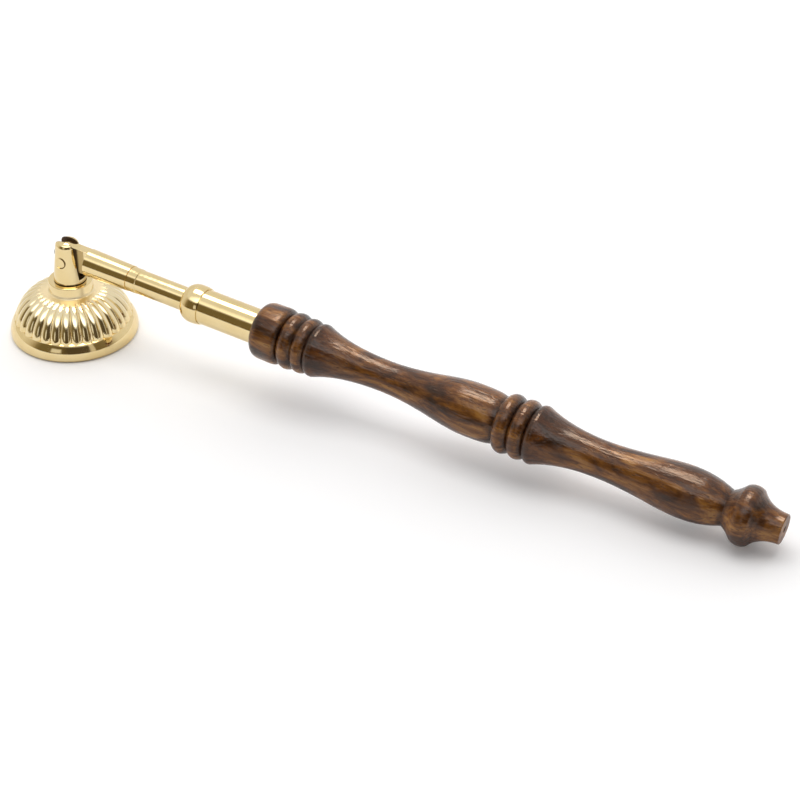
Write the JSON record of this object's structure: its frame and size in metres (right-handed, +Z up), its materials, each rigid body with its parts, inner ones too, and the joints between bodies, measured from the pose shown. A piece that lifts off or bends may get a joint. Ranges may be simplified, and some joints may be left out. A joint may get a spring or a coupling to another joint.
{
  "type": "candle snuffer",
  "caption": "Long-handled candle snuffer: a fluted brass bell swings on a slotted hinge post at the end of a brass arm with a bead-turned wooden handle.",
  "frame": {"origin": "bottom centre of the bounding box, on the table that the bell's rim and the finial touch", "axes": "+Z up, +X along the handle from the bell to the finial, Y along the hinge pin"},
  "size_m": [0.2854, 0.0446, 0.0361],
  "materials": {
    "polished_brass": "mirror polished, clear lacquered",
    "plain_steel": "plain drawn",
    "lacquered_wood": "stained dark, semi-gloss lacquer"
  },
  "bodies": {
    "handle_side": {"handle": "lacquered_wood", "handle_stud": "plain_steel", "ferrule_sleeve": "polished_brass", "ferrule_cap": "polished_brass", "stem": "polished_brass", "arm_collar": "polished_brass", "hinge_arm": "polished_brass"},
    "snuffer_head": {"bell": "polished_brass", "hinge_post": "polished_brass", "crown_screw": "polished_brass", "pivot_pin": "polished_brass"}
  },
  "joints": [
    {"name": "head_swing", "type": "hinge", "parent": "handle_side", "child": "snuffer_head", "pos_m": [-0.1204, 0, 0.029], "axis": [0, 1, 0], "range_deg": [-15, 185]}
  ]
}
